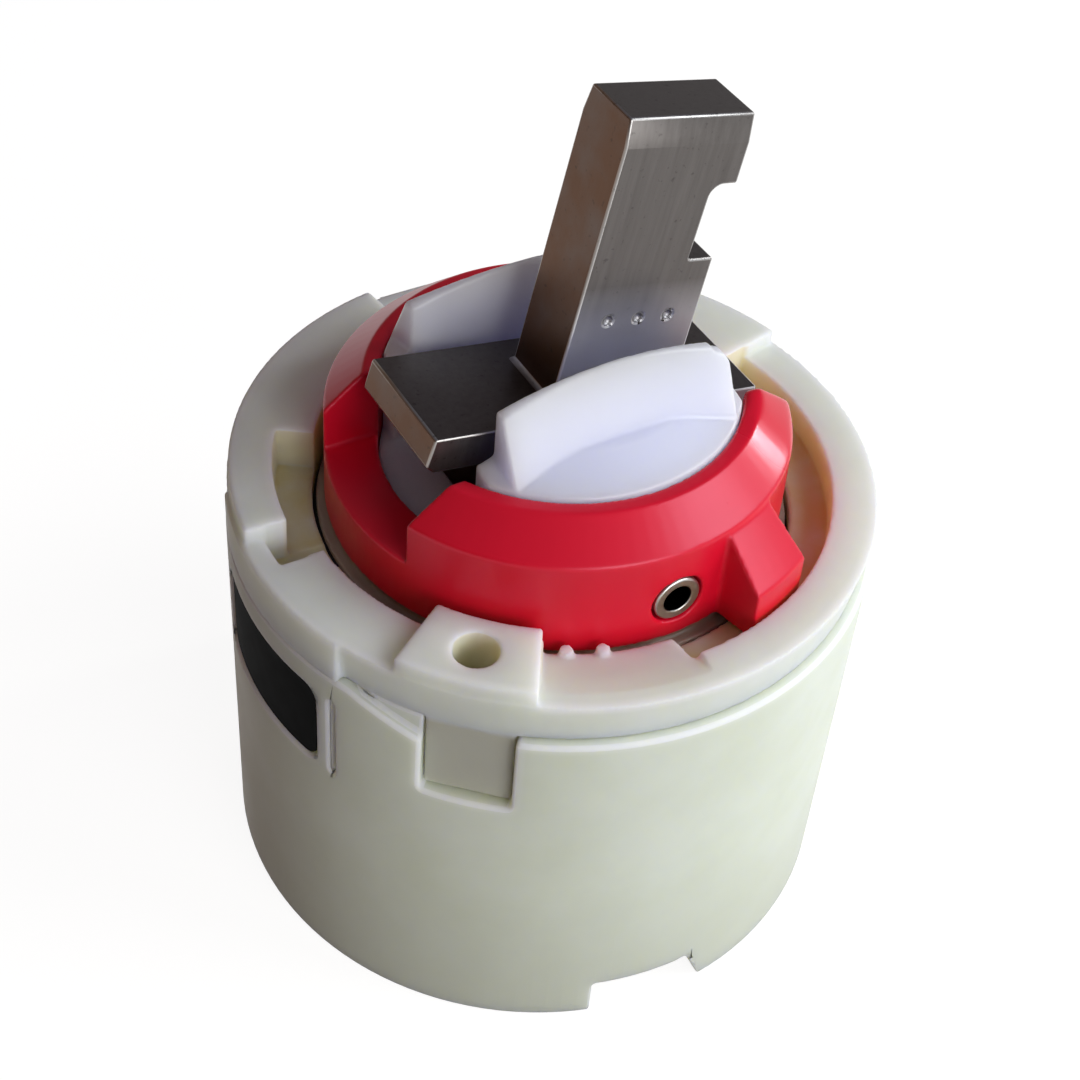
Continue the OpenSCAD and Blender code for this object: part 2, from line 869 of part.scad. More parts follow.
// Side view of the foot plate, a little higher in front, with its rear edge sloped under
module foot_outline() {
    under = foot_h - foot_t;
    polygon([
        [-foot_back + foot_slope, under], [-foot_back - foot_bulge, under + foot_slope],
        [-foot_back, foot_h], [foot_front, foot_h + foot_rise], [foot_front, under + foot_slope]
    ]);
}

// The lever: stem with its hook notch, foot plate, hub around the pin and lower arm
module lever() {
    hub_r = hub_d / 2;
    hub_top = foot_h - foot_t / 2;
    color(steel)
    on_lever()
        difference() {
            union() {
                intersection() {
                    across(stem_t)
                        stem_outline();
                    translate([-cup_r, 0, 0])
                        rotate([90, 0, 90])
                            linear_extrude(body_d)
                                stem_section();
                }
                across(foot_w)
                    foot_outline();
                across(hub_w)
                    polygon([
                        [-hub_r, 0], [-hub_r - hub_flare, hub_top], [hub_r + hub_flare, hub_top], [hub_r, 0]
                    ]);
                across(hub_w)
                    circle(hub_r);
                translate([-arm_w / 2, -arm_t / 2, -arm + shoe_flat])
                    cube([arm_w, arm_t, arm - shoe_flat]);
                translate([0, 0, -arm - shoe_r + shoe_wall])
                    cylinder(d = shoe_peg_d, h = arm);
            }
            across(body_d)
                circle(d = pin_d + 2 * pin_gap);
            for (i = [-1, 0, 1])
                translate([stem_x + dot_x + i * dot_step, -stem_t / 2 - dot_sink, dot_z])
                    sphere(dot_r);
        }
}

// The plastic ball on the lever's lower end
module lever_shoe() {
    color(ptfe)
    on_lever()
        translate([0, 0, -arm])
            difference() {
                sphere(shoe_r);
                translate([0, 0, -shoe_r + shoe_wall - seat_gap])
                    cylinder(d = shoe_peg_d + 2 * seat_gap, h = shoe_d);
                translate([-shoe_d, -shoe_d, shoe_flat - seat_gap])
                    cube([2 * shoe_d, 2 * shoe_d, shoe_d]);
            }
}

lower_housing();
collar();
latch_ring();
base_plate();
foot_seal_hot();
foot_seal_cold();
foot_seal_outlet();
disc_seal_hot();
disc_seal_cold();
disc_seal_outlet();
fixed_disc();
moving_disc();
disc_carrier();
carrier_seal();
lever_holder();
slide_ring();
turret_seal();
limit_ring();
lever_pin();
lever();
lever_shoe();
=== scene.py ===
# %% [markdown]
# # A ceramic disc tap cartridge
# The pieces of this single-lever mixer cartridge come packed from CAD, at their real size. This lesson
# gives them their looks: rounded moulded edges, plastics, steel, and a small studio around them.
# Everything here is in metres, and a size from the drawing is written in millimetres times MM.

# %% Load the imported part
import json
import math

import bmesh
import bpy
from mathutils import Matrix, Vector

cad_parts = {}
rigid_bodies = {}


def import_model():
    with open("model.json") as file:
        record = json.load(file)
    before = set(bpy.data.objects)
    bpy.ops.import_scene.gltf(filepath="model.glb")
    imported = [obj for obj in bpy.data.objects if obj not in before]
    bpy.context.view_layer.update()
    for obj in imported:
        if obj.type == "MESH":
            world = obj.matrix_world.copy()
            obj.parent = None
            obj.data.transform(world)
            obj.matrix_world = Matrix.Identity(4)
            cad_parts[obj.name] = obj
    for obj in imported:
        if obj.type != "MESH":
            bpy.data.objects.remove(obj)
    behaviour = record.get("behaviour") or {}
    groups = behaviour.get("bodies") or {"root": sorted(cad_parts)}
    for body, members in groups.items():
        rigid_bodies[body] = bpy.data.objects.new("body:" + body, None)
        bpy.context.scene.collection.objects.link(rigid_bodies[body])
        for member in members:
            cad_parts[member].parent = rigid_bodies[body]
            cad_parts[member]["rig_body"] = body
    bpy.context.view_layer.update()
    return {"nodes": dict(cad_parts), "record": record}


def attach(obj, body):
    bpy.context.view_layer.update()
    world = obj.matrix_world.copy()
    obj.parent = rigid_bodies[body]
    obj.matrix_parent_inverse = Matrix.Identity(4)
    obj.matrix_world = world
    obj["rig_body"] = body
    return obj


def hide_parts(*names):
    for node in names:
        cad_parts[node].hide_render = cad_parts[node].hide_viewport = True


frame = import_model()
MM = 0.001

# %% [markdown]
# ## The camera
# The camera was found from the round edges of the cup and the collar, which show as ellipses. A long
# lens close to the part looks down on it at about 44 degrees, and is rolled a little, as a hand holds it.
# The lens is written as it was found, in pixels of a frame of 1080, and turned into millimetres of a
# sensor.

# %% Camera
FRAME_PX = 1080
FOCAL_PX = 1989.1
SENSOR_MM = 36
AZIMUTH = math.radians(-33)
ELEVATION = math.radians(43.56)
ROLL = math.radians(4.96)
DISTANCE = 151.2 * MM
AIM = Vector((-0.56, 0, 27.36)) * MM

turned = Matrix.Rotation(AZIMUTH, 3, "Z")
forward = turned @ Vector((0, math.cos(ELEVATION), -math.sin(ELEVATION)))
camera_right = turned @ Vector((1, 0, 0))
camera_up = camera_right.cross(forward)
rolled_right = math.cos(ROLL) * camera_right + math.sin(ROLL) * camera_up
rolled_up = math.cos(ROLL) * camera_up - math.sin(ROLL) * camera_right

camera = bpy.data.objects.new("camera", bpy.data.cameras.new("camera"))
bpy.context.scene.collection.objects.link(camera)
camera.data.sensor_width = SENSOR_MM
camera.data.lens = SENSOR_MM * FOCAL_PX / FRAME_PX
camera.data.clip_start = 1 * MM
camera.matrix_world = (Matrix.Translation(turned @ AIM - forward * DISTANCE)
                       @ Matrix((rolled_right, rolled_up, -forward)).transposed().to_4x4())
bpy.context.scene.camera = camera
print("lens in mm", round(camera.data.lens, 1))

# %% [markdown]
# ## Small helpers for materials
# A colour picked from a picture is sRGB, and a shader wants linear light, so one function turns a hex
# value into the other. A second adds a node: its properties, and its inputs as plain values or as the
# outputs of other nodes. Three short ones start a material, end it, and turn a size into a texture's scale.

# %% Colour and node helpers
def linear(hex_colour):
    """A hex colour as linear red, green, blue and a full alpha."""
    parts = [int(hex_colour[i:i + 2], 16) / 255 for i in (1, 3, 5)]
    return tuple(c / 12.92 if c <= 0.04045 else ((c + 0.055) / 1.055) ** 2.4 for c in parts) + (1,)


def add(tree, kind, inputs=None, **properties):
    """Adds a node, sets its properties, and sets or links its inputs by name or number."""
    node = tree.nodes.new("ShaderNode" + kind)
    for name, value in properties.items():
        setattr(node, name, value)
    for name, value in (inputs or {}).items():
        if isinstance(value, bpy.types.NodeSocket):
            tree.links.new(value, node.inputs[name])
        else:
            node.inputs[name].default_value = value
    return node


def material(name):
    """An empty material and its node tree."""
    made = bpy.data.materials.new(name)
    made.use_nodes = True
    made.node_tree.nodes.clear()
    return made, made.node_tree


def finish_material(tree, shader):
    """Sends a shader to the surface."""
    add(tree, "OutputMaterial", {"Surface": shader.outputs[0]})


def per_mm(size):
    """The scale that gives a texture features of that size in millimetres."""
    return 1 / (size * MM)


print("white is", linear("#ffffff"))

# %% [markdown]
# ## The floor
# The floor is a real diffuse surface that takes the shadow. What the camera, a mirror or glass sees of it
# is lifted to white by a little glow that diffuse rays don't see, so it puts no light on the part.

# %% Floor
FLOOR_SIZE = 6.0
FLOOR_GLOW = 0.9

floor_material, tree = material("pale paper sweep")
path = add(tree, "LightPath")
seen = add(tree, "Math", {0: path.outputs["Is Camera Ray"], 1: path.outputs["Is Glossy Ray"]},
           operation="MAXIMUM")
seen = add(tree, "Math", {0: seen.outputs[0], 1: path.outputs["Is Transmission Ray"]}, operation="MAXIMUM")
glow = add(tree, "Math", {0: seen.outputs[0], 1: FLOOR_GLOW}, operation="MULTIPLY")
paper = add(tree, "BsdfDiffuse", {"Color": linear("#84827f")})
lift = add(tree, "Emission", {"Strength": glow.outputs[0]})
finish_material(tree, add(tree, "AddShader", {0: paper.outputs[0], 1: lift.outputs[0]}))

half = FLOOR_SIZE / 2
floor_mesh = bpy.data.meshes.new("floor")
corners = [(-half, -half, 0), (half, -half, 0), (half, half, 0), (-half, half, 0)]
floor_mesh.from_pydata(corners, [], [(0, 1, 2, 3)])
floor_mesh.materials.append(floor_material)
floor = bpy.data.objects.new("floor", floor_mesh)
bpy.context.scene.collection.objects.link(floor)
print("floor", FLOOR_SIZE, "m wide")

# %% [markdown]
# ## The light
# The main lamp stands on the right, like a window: it lights the right side of the cup, lays a sheen on
# the slope of the red ring, and throws the ring's shadow over the left of the collar. A low lamp of about the
# same level, nearer the camera, fills the front, and a small one far round on the right puts a spark on the
# ring's rounded end. A lamp's level is the brightness it gives a white card that faces it, so a colour
# renders about as it is written where the two meet.

# %% Lamps
LAMP_AT = Vector((0, 0, 30)) * MM


def area_lamp(name, azimuth, elevation, distance, size, level, hex_colour):
    """A round lamp that faces the part. azimuth is in degrees to the right of the camera."""
    turn = turned @ Matrix.Rotation(math.radians(azimuth), 3, "Z")
    rise = math.radians(elevation)
    way = turn @ Vector((0, -math.cos(rise), math.sin(rise)))
    lamp = bpy.data.objects.new(name, bpy.data.lights.new(name, "AREA"))
    bpy.context.scene.collection.objects.link(lamp)
    lamp.data.shape = "DISK"
    lamp.data.size = size
    lamp.data.color = linear(hex_colour)[:3]
    lamp.data.energy = level * (math.pi * distance) ** 2
    lamp.matrix_world = (Matrix.Translation(LAMP_AT + way * distance)
                         @ way.to_track_quat("Z", "Y").to_matrix().to_4x4())
    print(name, "watts", round(lamp.data.energy, 2))


area_lamp("window", azimuth=87, elevation=36, distance=0.4, size=0.25, level=0.6, hex_colour="#f6fcff")
area_lamp("spark", azimuth=122, elevation=17, distance=0.3, size=0.03, level=0.17, hex_colour="#ffffff")
area_lamp("fill", azimuth=36, elevation=16, distance=0.5, size=0.36, level=0.62, hex_colour="#fdffff")

# %% [markdown]
# ## The room
# The rest of the room is dim: grey overhead, warm on the left where the shadows are, and cool on the right.
# A low pale wall at the back keeps the far side of the part from going black. The camera itself sees white
# all round, and so do mirrors near the horizon.

# %% Room
world = bpy.data.worlds.new("dim room")
bpy.context.scene.world = world
world.use_nodes = True
tree = world.node_tree
tree.nodes.clear()
way = add(tree, "TexCoord").outputs["Generated"]
leftward = add(tree, "VectorMath", {0: way, 1: -camera_right}, operation="DOT_PRODUCT").outputs["Value"]
side = add(tree, "MapRange", {"Value": leftward, "From Min": -0.5, "From Max": 0.6})
walls = add(tree, "Mix", {0: side.outputs[0], 6: linear("#666876"), 7: linear("#765a42")}, data_type="RGBA")
upward = add(tree, "SeparateXYZ", {0: way}).outputs["Z"]
overhead = add(tree, "MapRange", {"Value": upward, "From Min": 0.55, "From Max": 0.9})
room = add(tree, "Mix", {0: overhead.outputs[0], 6: walls.outputs[2], 7: linear("#787882")}, data_type="RGBA")
back_way = Vector((forward.x, forward.y, 0)).normalized()
backward = add(tree, "VectorMath", {0: way, 1: back_way}, operation="DOT_PRODUCT").outputs["Value"]
back = add(tree, "MapRange", {"Value": backward, "From Min": 0.3, "From Max": 0.85})
low = add(tree, "MapRange", {"Value": upward, "From Min": 0.26, "From Max": 0.08})
back = add(tree, "Math", {0: back.outputs[0], 1: low.outputs[0]}, operation="MULTIPLY")
room = add(tree, "Mix", {0: back.outputs[0], 6: room.outputs[2], 7: linear("#d0cdc6")}, data_type="RGBA")
path = add(tree, "LightPath")
mirror = add(tree, "Math", {0: path.outputs["Is Glossy Ray"], 1: path.outputs["Is Transmission Ray"]},
             operation="MAXIMUM")
horizon = add(tree, "MapRange", {"Value": upward, "From Min": 0.1, "From Max": 0.04})
mirror = add(tree, "Math", {0: mirror.outputs[0], 1: horizon.outputs[0]}, operation="MULTIPLY")
seen = add(tree, "Math", {0: path.outputs["Is Camera Ray"], 1: mirror.outputs[0]}, operation="MAXIMUM")
room = add(tree, "Mix", {0: seen.outputs[0], 6: room.outputs[2], 7: linear("#f9f9f9")}, data_type="RGBA")
light = add(tree, "Background", {"Color": room.outputs[2]})
add(tree, "OutputWorld", {"Surface": light.outputs[0]})

bpy.context.scene.view_settings.view_transform = "Standard"
print("room", world.name)

# %% [markdown]
# ## Moulded edges
# CAD edges are perfectly sharp, and a moulded edge never is: its small radius catches a line of light. A
# bevel could round them, but where many short edges meet it folds over itself. So a plastic piece is turned
# into fine voxels and smoothed a few passes, which rounds every edge alike, and is then thinned out again.
# The new mesh stands for the CAD node, which stays in the frame for the physics.

# %% Helper for moulded pieces
SPLIT = 0.002 * MM
slot_of = {part["node"]: part["material_slot"] for part in frame["record"]["subparts"]}


def joined_copy(node):
    """A bmesh of a CAD node's mesh, with the vertices that the file splits joined again."""
    bm = bmesh.new()
    bm.from_mesh(frame["nodes"][node].data)
    bmesh.ops.remove_doubles(bm, verts=bm.verts, dist=SPLIT)
    return bm


def new_piece(name, bm, node):
    """An object from a bmesh, which stands for a CAD node and moves with its body."""
    mesh = bpy.data.meshes.new(name)
    bm.to_mesh(mesh)
    bm.free()
    piece = bpy.data.objects.new(name, mesh)
    bpy.context.scene.collection.objects.link(piece)
    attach(piece, frame["nodes"][node]["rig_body"])
    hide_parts(node)
    return piece


def bake_modifiers(piece):
    """Puts what the modifiers make into the piece's own mesh."""
    depsgraph = bpy.context.evaluated_depsgraph_get()
    made = bpy.data.meshes.new_from_object(piece.evaluated_get(depsgraph))
    piece.modifiers.clear()
    piece.data = made
    made.name = piece.name


def moulded(name, node, voxel, passes, keep, worn_at=None, worn_reach=0, worn_passes=0):
    """A plastic piece with rounded edges. voxel is in millimetres, keep is the share of faces left.
    Within worn_reach millimetres of the point worn_at, more passes round it further."""
    piece = new_piece(name, joined_copy(node), node)
    voxels = piece.modifiers.new("voxels", "REMESH")
    voxels.mode = "VOXEL"
    voxels.voxel_size = voxel * MM
    voxels.use_smooth_shade = True
    smooth = piece.modifiers.new("smooth", "SMOOTH")
    smooth.factor = 0.5
    smooth.iterations = passes
    bake_modifiers(piece)
    if worn_at:
        group = piece.vertex_groups.new(name="worn")
        for vertex in piece.data.vertices:
            share = 1 - (vertex.co - worn_at).length / (worn_reach * MM)
            if share > 0:
                group.add([vertex.index], min(1, 2 * share), "REPLACE")
        wear = piece.modifiers.new("wear", "SMOOTH")
        wear.factor = 0.5
        wear.iterations = worn_passes
        wear.vertex_group = "worn"
    thin = piece.modifiers.new("thin", "DECIMATE")
    thin.ratio = keep
    bake_modifiers(piece)
    piece.vertex_groups.clear()
    piece.data.shade_smooth()
    print(name, "faces", len(piece.data.polygons))
    return piece


print("slots", len(set(slot_of.values())))

# %% [markdown]
# ## Crisp edges
# The cup, the steel lever and the pin have crisp edges with a narrow break, so a bevel is right for them.
# The triangles that CAD left on flat faces are first dissolved, because a bevel follows every edge it is
# given. Flat faces stay flat shaded, so that no long thin triangle bends the light on them. The broken edges
# get the second material slot, because on the lever they are rubbed bright, and on nylon they are painted
# paler, as a painted highlight.

# %% Helper for crisp pieces
TINY = 0.004 * MM
CUT = 0.001 * MM
BENT_SHARE = 0.3


def crisp(name, node, edge, segments, rings=(), sharp=28, flat=0.3):
    """A piece with its sharp edges broken. edge is the width of the break in millimetres, and an edge breaks
    where it turns more than sharp degrees. A turned wall is also cut at the heights in rings, so that a cut
    in it bends the light only nearby. A face with enough gently bent edges is round, and is shaded so."""
    bm = joined_copy(node)
    bmesh.ops.remove_doubles(bm, verts=bm.verts, dist=TINY)
    bmesh.ops.dissolve_degenerate(bm, dist=TINY, edges=bm.edges)
    bmesh.ops.dissolve_limit(bm, angle_limit=math.radians(flat), verts=bm.verts, edges=bm.edges)
    for height in rings:
        bmesh.ops.bisect_plane(bm, geom=[*bm.verts, *bm.edges, *bm.faces], dist=CUT,
                               plane_co=(0, 0, height * MM), plane_no=(0, 0, 1))
    bmesh.ops.recalc_face_normals(bm, faces=bm.faces)
    turns = {e: math.degrees(e.calc_face_angle(0)) for e in bm.edges if e.is_manifold}
    for face in bm.faces:
        bent = sum(e.calc_length() for e in face.edges if flat < turns.get(e, 0) < sharp)
        face.smooth = bent > BENT_SHARE * face.calc_perimeter()
    broken = bmesh.ops.bevel(bm, geom=[e for e, turn in turns.items() if turn > sharp], offset=edge * MM,
                             offset_type="OFFSET", segments=segments, profile=0.5, affect="EDGES",
                             clamp_overlap=False, loop_slide=True, miter_outer="ARC")
    for face in broken["faces"]:
        face.smooth = True
        face.material_index = 1
    piece = new_piece(name, bm, node)
    print(name, "faces", len(piece.data.polygons))
    return piece


print("edges under", round(TINY / MM, 4), "mm are joined away")

# %% [markdown]
# ## Moulded ivory nylon
# The cup and the collar are natural nylon: a cream plastic that lets light in a few millimetres, so its
# shadows are soft. Its thin edges are painted paler, as painted light that shines through them. Its moulded
# face is satin and worn dull, so it shines less than its refractive index says. Slow cloudy patches and a
# faint orange peel keep the surface from looking like paint. Low down it is painted darker, as painted shade.
# The floors hold old grease, painted yellower as light that comes through the wall, and the inner walls that
# the ring runs past are painted yellow as that same light.

# %% Moulded ivory nylon
GREASE_AND_LIGHT_FADE = 0.5
INNER_WALL_R = 20.4
INNER_FADE = 0.5


def moulded_nylon(name, body_hex, cloud_hex, painted_edge_light_hex, painted_low_shade_hex, low_full, low_none, grease_and_through_light_hex,
                  grease_and_through_light_below, shine, depth):
    """Natural nylon. It goes over to the darker low colour, as painted shade, from the height low_none down
    to low_full, and floors below the grease height hold old grease, painted yellower as light that comes
    through the wall. depth is how far light goes in. All are in millimetres."""
    made, tree = material(name)
    coordinates = add(tree, "TexCoord")
    where = coordinates.outputs["Object"]
    cloud = add(tree, "TexNoise", {"Vector": where, "Scale": per_mm(9), "Detail": 3, "Roughness": 0.6})
    cloudy = add(tree, "MapRange", {"Value": cloud.outputs[0], "From Min": 0.35, "From Max": 0.7})
    body = add(tree, "Mix", {0: cloudy.outputs[0], 6: linear(body_hex), 7: linear(cloud_hex)},
               data_type="RGBA")
    # Painted light: thin edges take the paler edge colour, standing in for light that shines through them.
    thick = add(tree, "AmbientOcclusion", {"Distance": 0.8 * MM}, inside=True, only_local=True, samples=4)
    thin = add(tree, "MapRange", {"Value": thick.outputs["AO"], "From Min": 0.95, "From Max": 0.45})
    pale = add(tree, "Mix", {0: thin.outputs[0], 6: body.outputs[2], 7: linear(painted_edge_light_hex)}, data_type="RGBA")
    # Painted shade: low down the colour goes over to the darker low colour.
    height = add(tree, "SeparateXYZ", {0: where}).outputs["Z"]
    foot = add(tree, "MapRange", {"Value": height, "From Min": low_none * MM, "From Max": low_full * MM})
    pale = add(tree, "Mix", {0: foot.outputs[0], 6: pale.outputs[2], 7: linear(painted_low_shade_hex)}, data_type="RGBA")
    # Flat floors below the grease height take a patchy yellow: partly old grease, partly painted light that
    # comes through the nylon wall.
    low = add(tree, "MapRange", {"Value": height, "From Min": grease_and_through_light_below * MM,
                                 "From Max": (grease_and_through_light_below - GREASE_AND_LIGHT_FADE) * MM})
    upward = add(tree, "SeparateXYZ", {0: coordinates.outputs["Normal"]}).outputs["Z"]
    lying = add(tree, "MapRange", {"Value": upward, "From Min": 0.2, "From Max": 0.8})
    patch = add(tree, "TexNoise", {"Vector": where, "Scale": per_mm(3), "Detail": 4})
    patchy = add(tree, "MapRange", {"Value": patch.outputs[0], "From Min": 0.25, "From Max": 0.65,
                                    "To Min": 0.45})
    grease = add(tree, "Math", {0: low.outputs[0], 1: lying.outputs[0]}, operation="MULTIPLY")
    grease = add(tree, "Math", {0: grease.outputs[0], 1: patchy.outputs[0]}, operation="MULTIPLY")
    colour = add(tree, "Mix", {0: grease.outputs[0], 6: pale.outputs[2], 7: linear(grease_and_through_light_hex)},
                 data_type="RGBA")
    # Painted light: the standing inner walls near the ring are painted yellow, as light that comes through
    # the wall.
    flat = add(tree, "VectorMath", {0: where, 1: (1, 1, 0)}, operation="MULTIPLY")
    reach = add(tree, "VectorMath", {0: flat.outputs[0]}, operation="LENGTH").outputs["Value"]
    inner = add(tree, "MapRange", {"Value": reach, "From Min": (INNER_WALL_R + INNER_FADE) * MM,
                                   "From Max": INNER_WALL_R * MM, "To Max": 0.7})
    standing = add(tree, "MapRange", {"Value": upward, "From Min": 0.6, "From Max": 0.2})
    inner = add(tree, "Math", {0: inner.outputs[0], 1: standing.outputs[0]}, operation="MULTIPLY")
    colour = add(tree, "Mix", {0: inner.outputs[0], 6: colour.outputs[2], 7: linear("#e0daae")},
                 data_type="RGBA")
    peel = add(tree, "TexNoise", {"Vector": where, "Scale": per_mm(0.7), "Detail": 4, "Roughness": 0.55})
    bump = add(tree, "Bump", {"Height": peel.outputs[0], "Strength": 0.12, "Distance": 0.05 * MM})
    gloss = add(tree, "MapRange", {"Value": cloud.outputs[0], "To Min": 0.38, "To Max": 0.55})
    finish_material(tree, add(tree, "BsdfPrincipled", {
        "Base Color": colour.outputs[2], "Roughness": gloss.outputs[0], "Normal": bump.outputs[0],
        "Specular IOR Level": shine,
        "Subsurface Weight": 0.8, "Subsurface Radius": (1.0, 0.95, 0.65), "Subsurface Scale": depth * MM,
    }))
    return made


# The cup has no greased floor and no painted light on its floors, so its grease height lies under its foot.
cup_nylon = moulded_nylon(
    "moulded ivory nylon", body_hex="#dde2d5", cloud_hex="#d7dcca", painted_edge_light_hex="#eef0e8", painted_low_shade_hex="#c2c5b5",
    low_full=-4, low_none=16, grease_and_through_light_hex="#d0c796", grease_and_through_light_below=-1, shine=0.07, depth=3)
# The cup's broken edges: the same nylon painted paler, as a painted highlight along the edges.
nylon_painted_pale_at_edges = moulded_nylon(
    "moulded ivory nylon painted pale at its edges", body_hex="#eef0ec", cloud_hex="#e8eae4", painted_edge_light_hex="#f2f4f0",
    painted_low_shade_hex="#c8cbbd", low_full=-4, low_none=16, grease_and_through_light_hex="#d0c796", grease_and_through_light_below=-1, shine=0.07, depth=3)
collar_nylon = moulded_nylon(
    "moulded ivory nylon of the collar", body_hex="#e3e8e0", cloud_hex="#dce1d6", painted_edge_light_hex="#f1f3ef",
    painted_low_shade_hex="#d8d4b4", low_full=30.9, low_none=31.5, grease_and_through_light_hex="#d6cd90", grease_and_through_light_below=33.4,
    shine=0.2, depth=5)
print(cup_nylon.name, "and", collar_nylon.name)

# %% [markdown]
# ## The cup and the collar
# The cup is the outer wall of the cartridge. The collar closes it, and carries the stops and the lug.
# The cup is a plain turned shape with a few cuts, which a bevel rounds cleanly. Unlike the other crisp
# pieces it is then shaded smooth all over, with normals that follow its larger faces, so that its turned
# wall shows no facets. The collar is made of many small steps, so it takes voxels, of a seventh of a
# millimetre.

# %% Cup and collar
CUP_RINGS = [1.4 + 1.5 * i for i in range(14)]
cup = crisp("cup", "lower_housing", edge=0.3, segments=3, rings=CUP_RINGS)
cup.data.shade_smooth()
normals = cup.modifiers.new("normals", "WEIGHTED_NORMAL")
normals.weight = 80
bake_modifiers(cup)
cup.data.materials.append(cup_nylon)
cup.data.materials.append(nylon_painted_pale_at_edges)
collar = moulded("collar_moulding", "collar", voxel=0.14, passes=5, keep=0.35)
collar.data.materials.append(collar_nylon)

# %% [markdown]
# ## Moulded red acetal
# The ring that limits the turn is red acetal, a hard and slippery plastic with a soft shine. It is dyed
# right through, so it needs no coat, only a broad highlight and a little unevenness. The end of the ring by
# the tab has been rubbed round and smooth.

# %% Moulded red acetal
RUBBED_END = Vector((13.4, -7.6, 42)) * MM
red_acetal, tree = material("moulded red acetal")
where = add(tree, "TexCoord").outputs["Object"]
cloud = add(tree, "TexNoise", {"Vector": where, "Scale": per_mm(6), "Detail": 3})
red = add(tree, "Mix", {0: cloud.outputs[0], 6: linear("#dc0d2c"), 7: linear("#cd0a26")}, data_type="RGBA")
peel = add(tree, "TexNoise", {"Vector": where, "Scale": per_mm(0.6), "Detail": 3})
bump = add(tree, "Bump", {"Height": peel.outputs[0], "Strength": 0.06, "Distance": 0.05 * MM})
gloss = add(tree, "MapRange", {"Value": cloud.outputs[0], "To Min": 0.3, "To Max": 0.38})
away = add(tree, "VectorMath", {0: where, 1: RUBBED_END}, operation="DISTANCE")
rubbed = add(tree, "MapRange", {"Value": away.outputs["Value"], "From Min": 8 * MM, "From Max": 4 * MM})
gloss = add(tree, "Mix", {0: rubbed.outputs[0], 2: gloss.outputs[0], 3: 0.2}, data_type="FLOAT")
finish_material(tree, add(tree, "BsdfPrincipled", {
    "Base Color": red.outputs[2], "Roughness": gloss.outputs[0], "Normal": bump.outputs[0],
    "Specular IOR Level": 0.5, "Specular Tint": linear("#ffd8f0"),
    "Subsurface Weight": 0.08, "Subsurface Radius": (1.0, 0.15, 0.15), "Subsurface Scale": 0.6 * MM,
}))

limit_ring = moulded("red_ring", "limit_ring", voxel=0.13, passes=8, keep=0.35,
                     worn_at=RUBBED_END, worn_reach=4.4, worn_passes=110)
limit_ring.data.materials.append(red_acetal)

# %% [markdown]
# ## Moulded white acetal
# The turret that holds the lever is white acetal with a faint blue cast. Light goes into it a few
# millimetres, which fills its shadows. Its shoulder, down in the collar, is painted brown: partly grease,
# partly painted shade in the gap under the ring.

# %% Moulded white acetal
SHOULDER_Z = 33.0
SHOULDER_FADE = 0.6
white_acetal, tree = material("moulded white acetal")
where = add(tree, "TexCoord").outputs["Object"]
cloud = add(tree, "TexNoise", {"Vector": where, "Scale": per_mm(7), "Detail": 3})
white = add(tree, "Mix", {0: cloud.outputs[0], 6: linear("#dee0f6"), 7: linear("#d6d7f1")}, data_type="RGBA")
height = add(tree, "SeparateXYZ", {0: where}).outputs["Z"]
# The shoulder is painted brown, partly as grease and partly as painted shade in the gap under the ring.
low = add(tree, "MapRange", {"Value": height, "From Min": (SHOULDER_Z + SHOULDER_FADE) * MM,
                             "From Max": SHOULDER_Z * MM, "To Max": 0.85})
white = add(tree, "Mix", {0: low.outputs[0], 6: white.outputs[2], 7: linear("#a98a68")}, data_type="RGBA")
peel = add(tree, "TexNoise", {"Vector": where, "Scale": per_mm(0.8), "Detail": 3})
bump = add(tree, "Bump", {"Height": peel.outputs[0], "Strength": 0.05, "Distance": 0.05 * MM})
gloss = add(tree, "MapRange", {"Value": cloud.outputs[0], "To Min": 0.28, "To Max": 0.4})
finish_material(tree, add(tree, "BsdfPrincipled", {
    "Base Color": white.outputs[2], "Roughness": gloss.outputs[0], "IOR": 1.48, "Normal": bump.outputs[0],
    "Subsurface Weight": 1.0, "Subsurface Radius": (0.9, 0.9, 1.0), "Subsurface Scale": 5 * MM,
}))

turret = moulded("turret", "lever_holder", voxel=0.13, passes=9, keep=0.2)
turret.data.materials.append(white_acetal)

# %% [markdown]
# ## Sintered steel
# The lever is pressed from steel powder, sintered and tumbled. Its faces carry fine lines along the stem
# and small pores. Its narrow faces carry a painted brown reflection, and the broad ones a painted pale
# reflection low down, where the steel is also less metallic.
# Real pores are about a tenth of a millimetre wide. They are drawn about four times as coarse, so that they
# show in the render.

# %% Sintered steel
LEVER_LEAN = math.radians(11.5)
LEVER_PIVOT = Vector((0, 0, 36.28)) * MM
REFLECTION_NONE_Z = 52.5 * MM
REFLECTION_FULL_Z = 46 * MM
STEM_FROM_X = -6.5 * MM
STEM_FULL_X = -5 * MM


